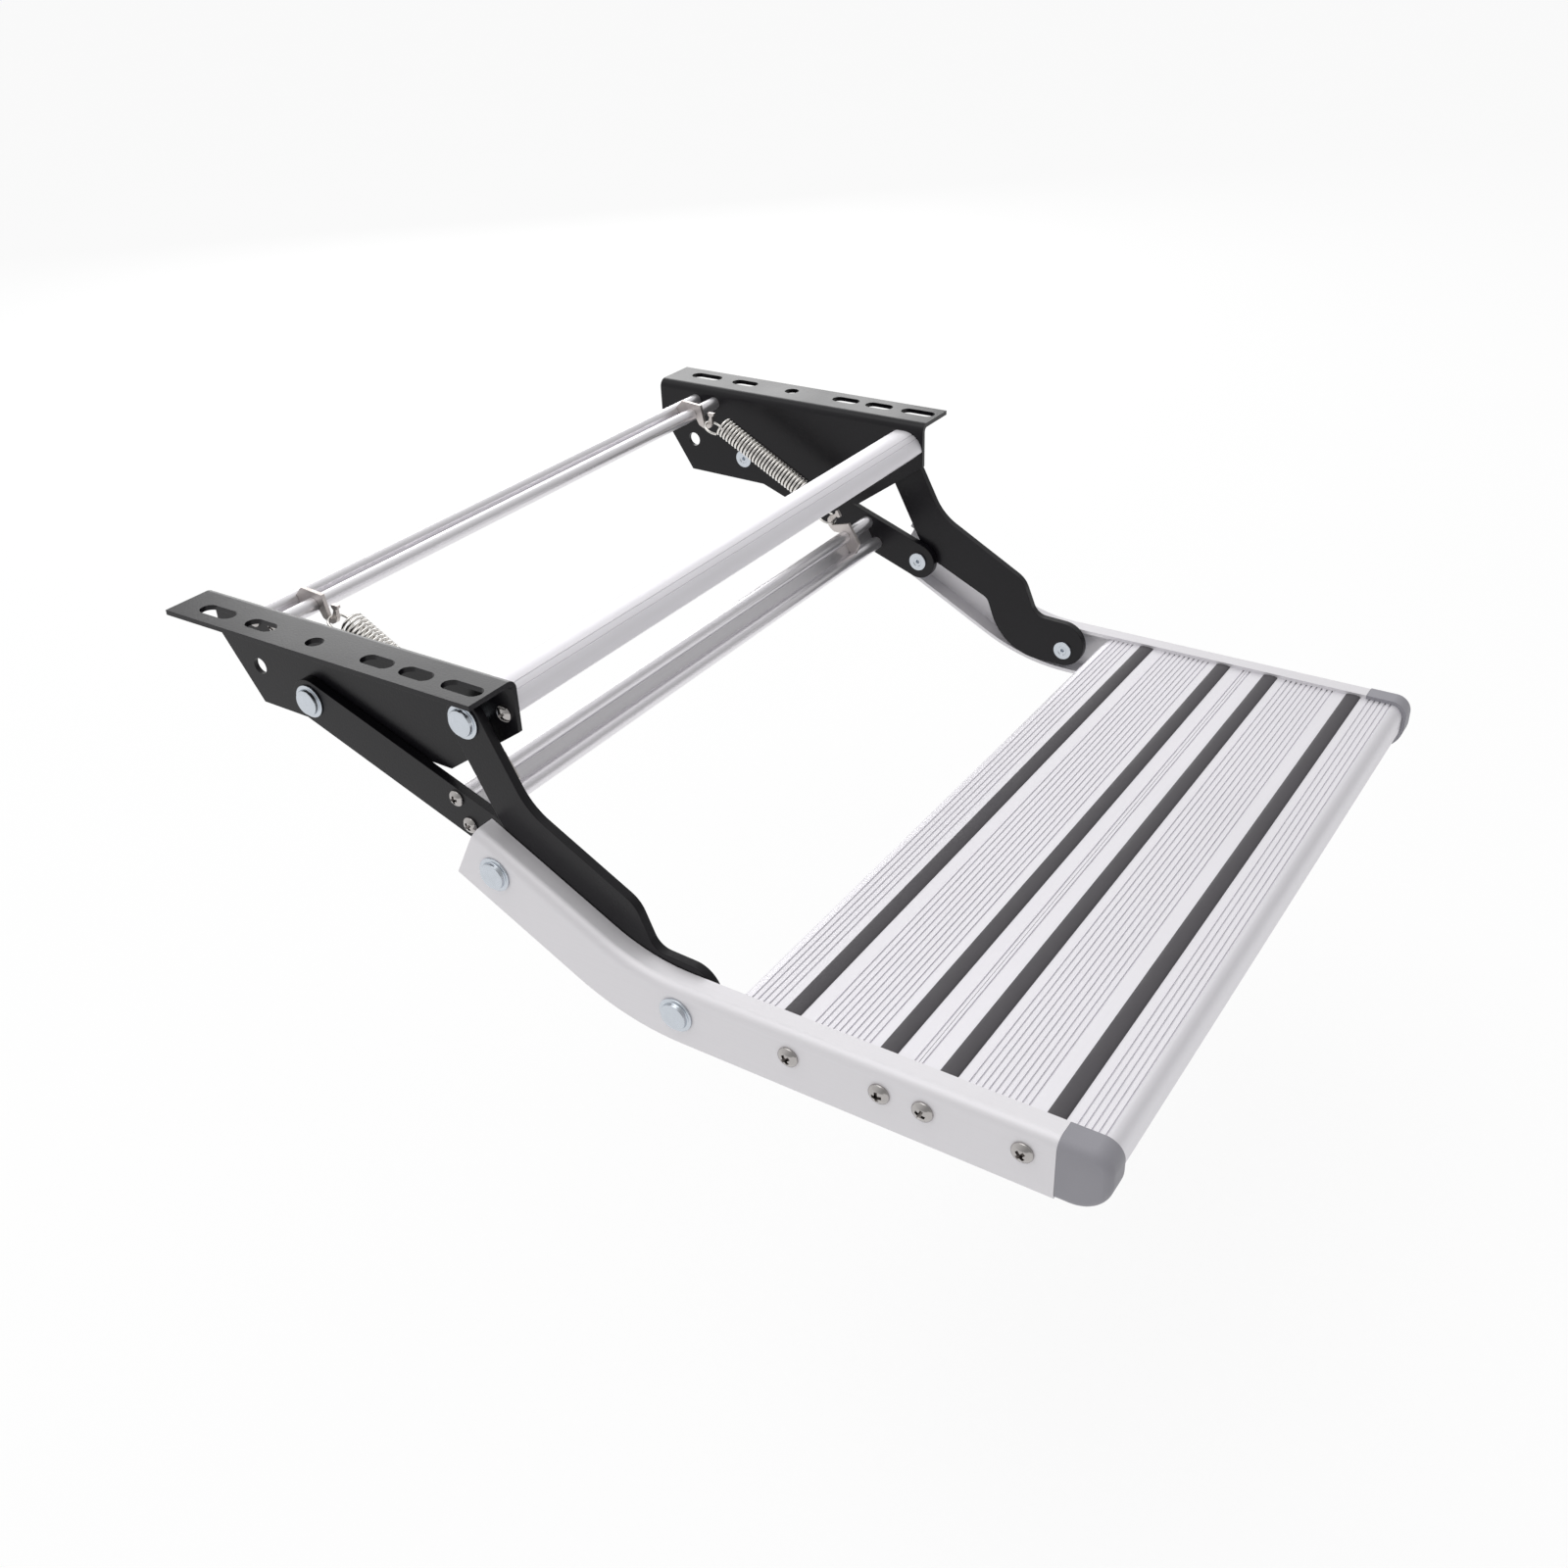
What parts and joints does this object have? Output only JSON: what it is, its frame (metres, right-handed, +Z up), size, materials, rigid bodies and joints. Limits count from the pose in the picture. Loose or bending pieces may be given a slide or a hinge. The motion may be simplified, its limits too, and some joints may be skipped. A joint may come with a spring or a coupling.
{
  "type": "caravan entry step",
  "caption": "Fold-away caravan entry step: grooved tread on cranked arms, hung by cranked links from flanged brackets.",
  "frame": {"origin": "midway between the two round locating holes, on the tops of the mounting flanges", "axes": "+Z up out of the flange tops, -Y out from the doorway towards the tread, +X across the step"},
  "size_m": [0.5, 0.5783, 0.1724],
  "materials": {
    "black_powder_coat": "black powder coat, semi-gloss",
    "arm_aluminium": "satin, pale anodised",
    "rear_link_paint": "black powder coat, semi-gloss",
    "bar_aluminium": "satin extrusion",
    "front_bar_aluminium": "satin extrusion",
    "tread_aluminium": "satin, pale anodised",
    "grip_rubber": "dark grey, matt",
    "cap_plastic": "mid grey, fine grain",
    "screw_steel": "stainless, cross recess",
    "zinc_rivets": "bright zinc plated",
    "clip_steel": "zinc plated sheet",
    "spring_steel": "bright nickel wire"
  },
  "bodies": {
    "bracket": {"left_bracket": "black_powder_coat", "right_bracket": "black_powder_coat", "rear_crossbar": "bar_aluminium", "front_crossbar": "front_bar_aluminium", "rear_bar_screws": "screw_steel", "front_bar_screws": "screw_steel", "left_rear_clip": "clip_steel", "right_rear_clip": "clip_steel", "rear_pivot_rivets": "zinc_rivets", "rear_pivot_washers": "zinc_rivets", "front_pivot_rivets": "zinc_rivets", "front_pivot_bushes": "zinc_rivets"},
    "rear_link": {"left_rear_link": "rear_link_paint", "right_rear_link": "rear_link_paint", "lower_crossbar": "bar_aluminium", "lower_bar_screws": "screw_steel", "left_lower_clip": "clip_steel", "right_lower_clip": "clip_steel"},
    "front_link": {"left_front_link": "black_powder_coat", "right_front_link": "black_powder_coat", "knee_rivet_tails": "zinc_rivets"},
    "step": {"left_arm": "arm_aluminium", "right_arm": "arm_aluminium", "inner_tread_plank": "tread_aluminium", "outer_tread_plank": "tread_aluminium", "grip_strip_1": "grip_rubber", "grip_strip_2": "grip_rubber", "grip_strip_3": "grip_rubber", "grip_strip_4": "grip_rubber", "left_end_cap": "cap_plastic", "right_end_cap": "cap_plastic", "tread_screws": "screw_steel", "heel_pivot_rivets": "zinc_rivets", "heel_pivot_bushes": "zinc_rivets", "knee_rivet_heads": "zinc_rivets", "knee_pivot_bushes": "zinc_rivets"},
    "springs": {"left_spring": "spring_steel", "right_spring": "spring_steel"}
  },
  "joints": [
    {"name": "step_fold", "type": "hinge", "parent": "bracket", "child": "rear_link", "pos_m": [0, 0.0309, -0.0505], "axis": [1, 0, 0], "range_deg": [0, 118]},
    {"name": "front_link_swing", "type": "hinge", "parent": "bracket", "child": "front_link", "pos_m": [0, -0.0963, -0.0257], "axis": [1, 0, 0], "range_deg": [0, 90]},
    {"name": "step_tilt", "type": "hinge", "parent": "rear_link", "child": "step", "pos_m": [0, -0.1182, -0.1053], "axis": [1, 0, 0], "range_deg": [-140, 0]},
    {"name": "spring_swing", "type": "hinge", "parent": "bracket", "child": "springs", "pos_m": [0, 0.0435, -0.0158], "axis": [1, 0, 0], "range_deg": [0, 90], "deforming": ["left_spring", "right_spring"]}
  ],
  "couplings": [
    {"joint": "front_link_swing", "follows": "step_fold", "ratio": 0.74377},
    {"joint": "step_tilt", "follows": "step_fold", "ratio": -1.1435},
    {"joint": "spring_swing", "follows": "step_fold", "ratio": 0.74589}
  ]
}
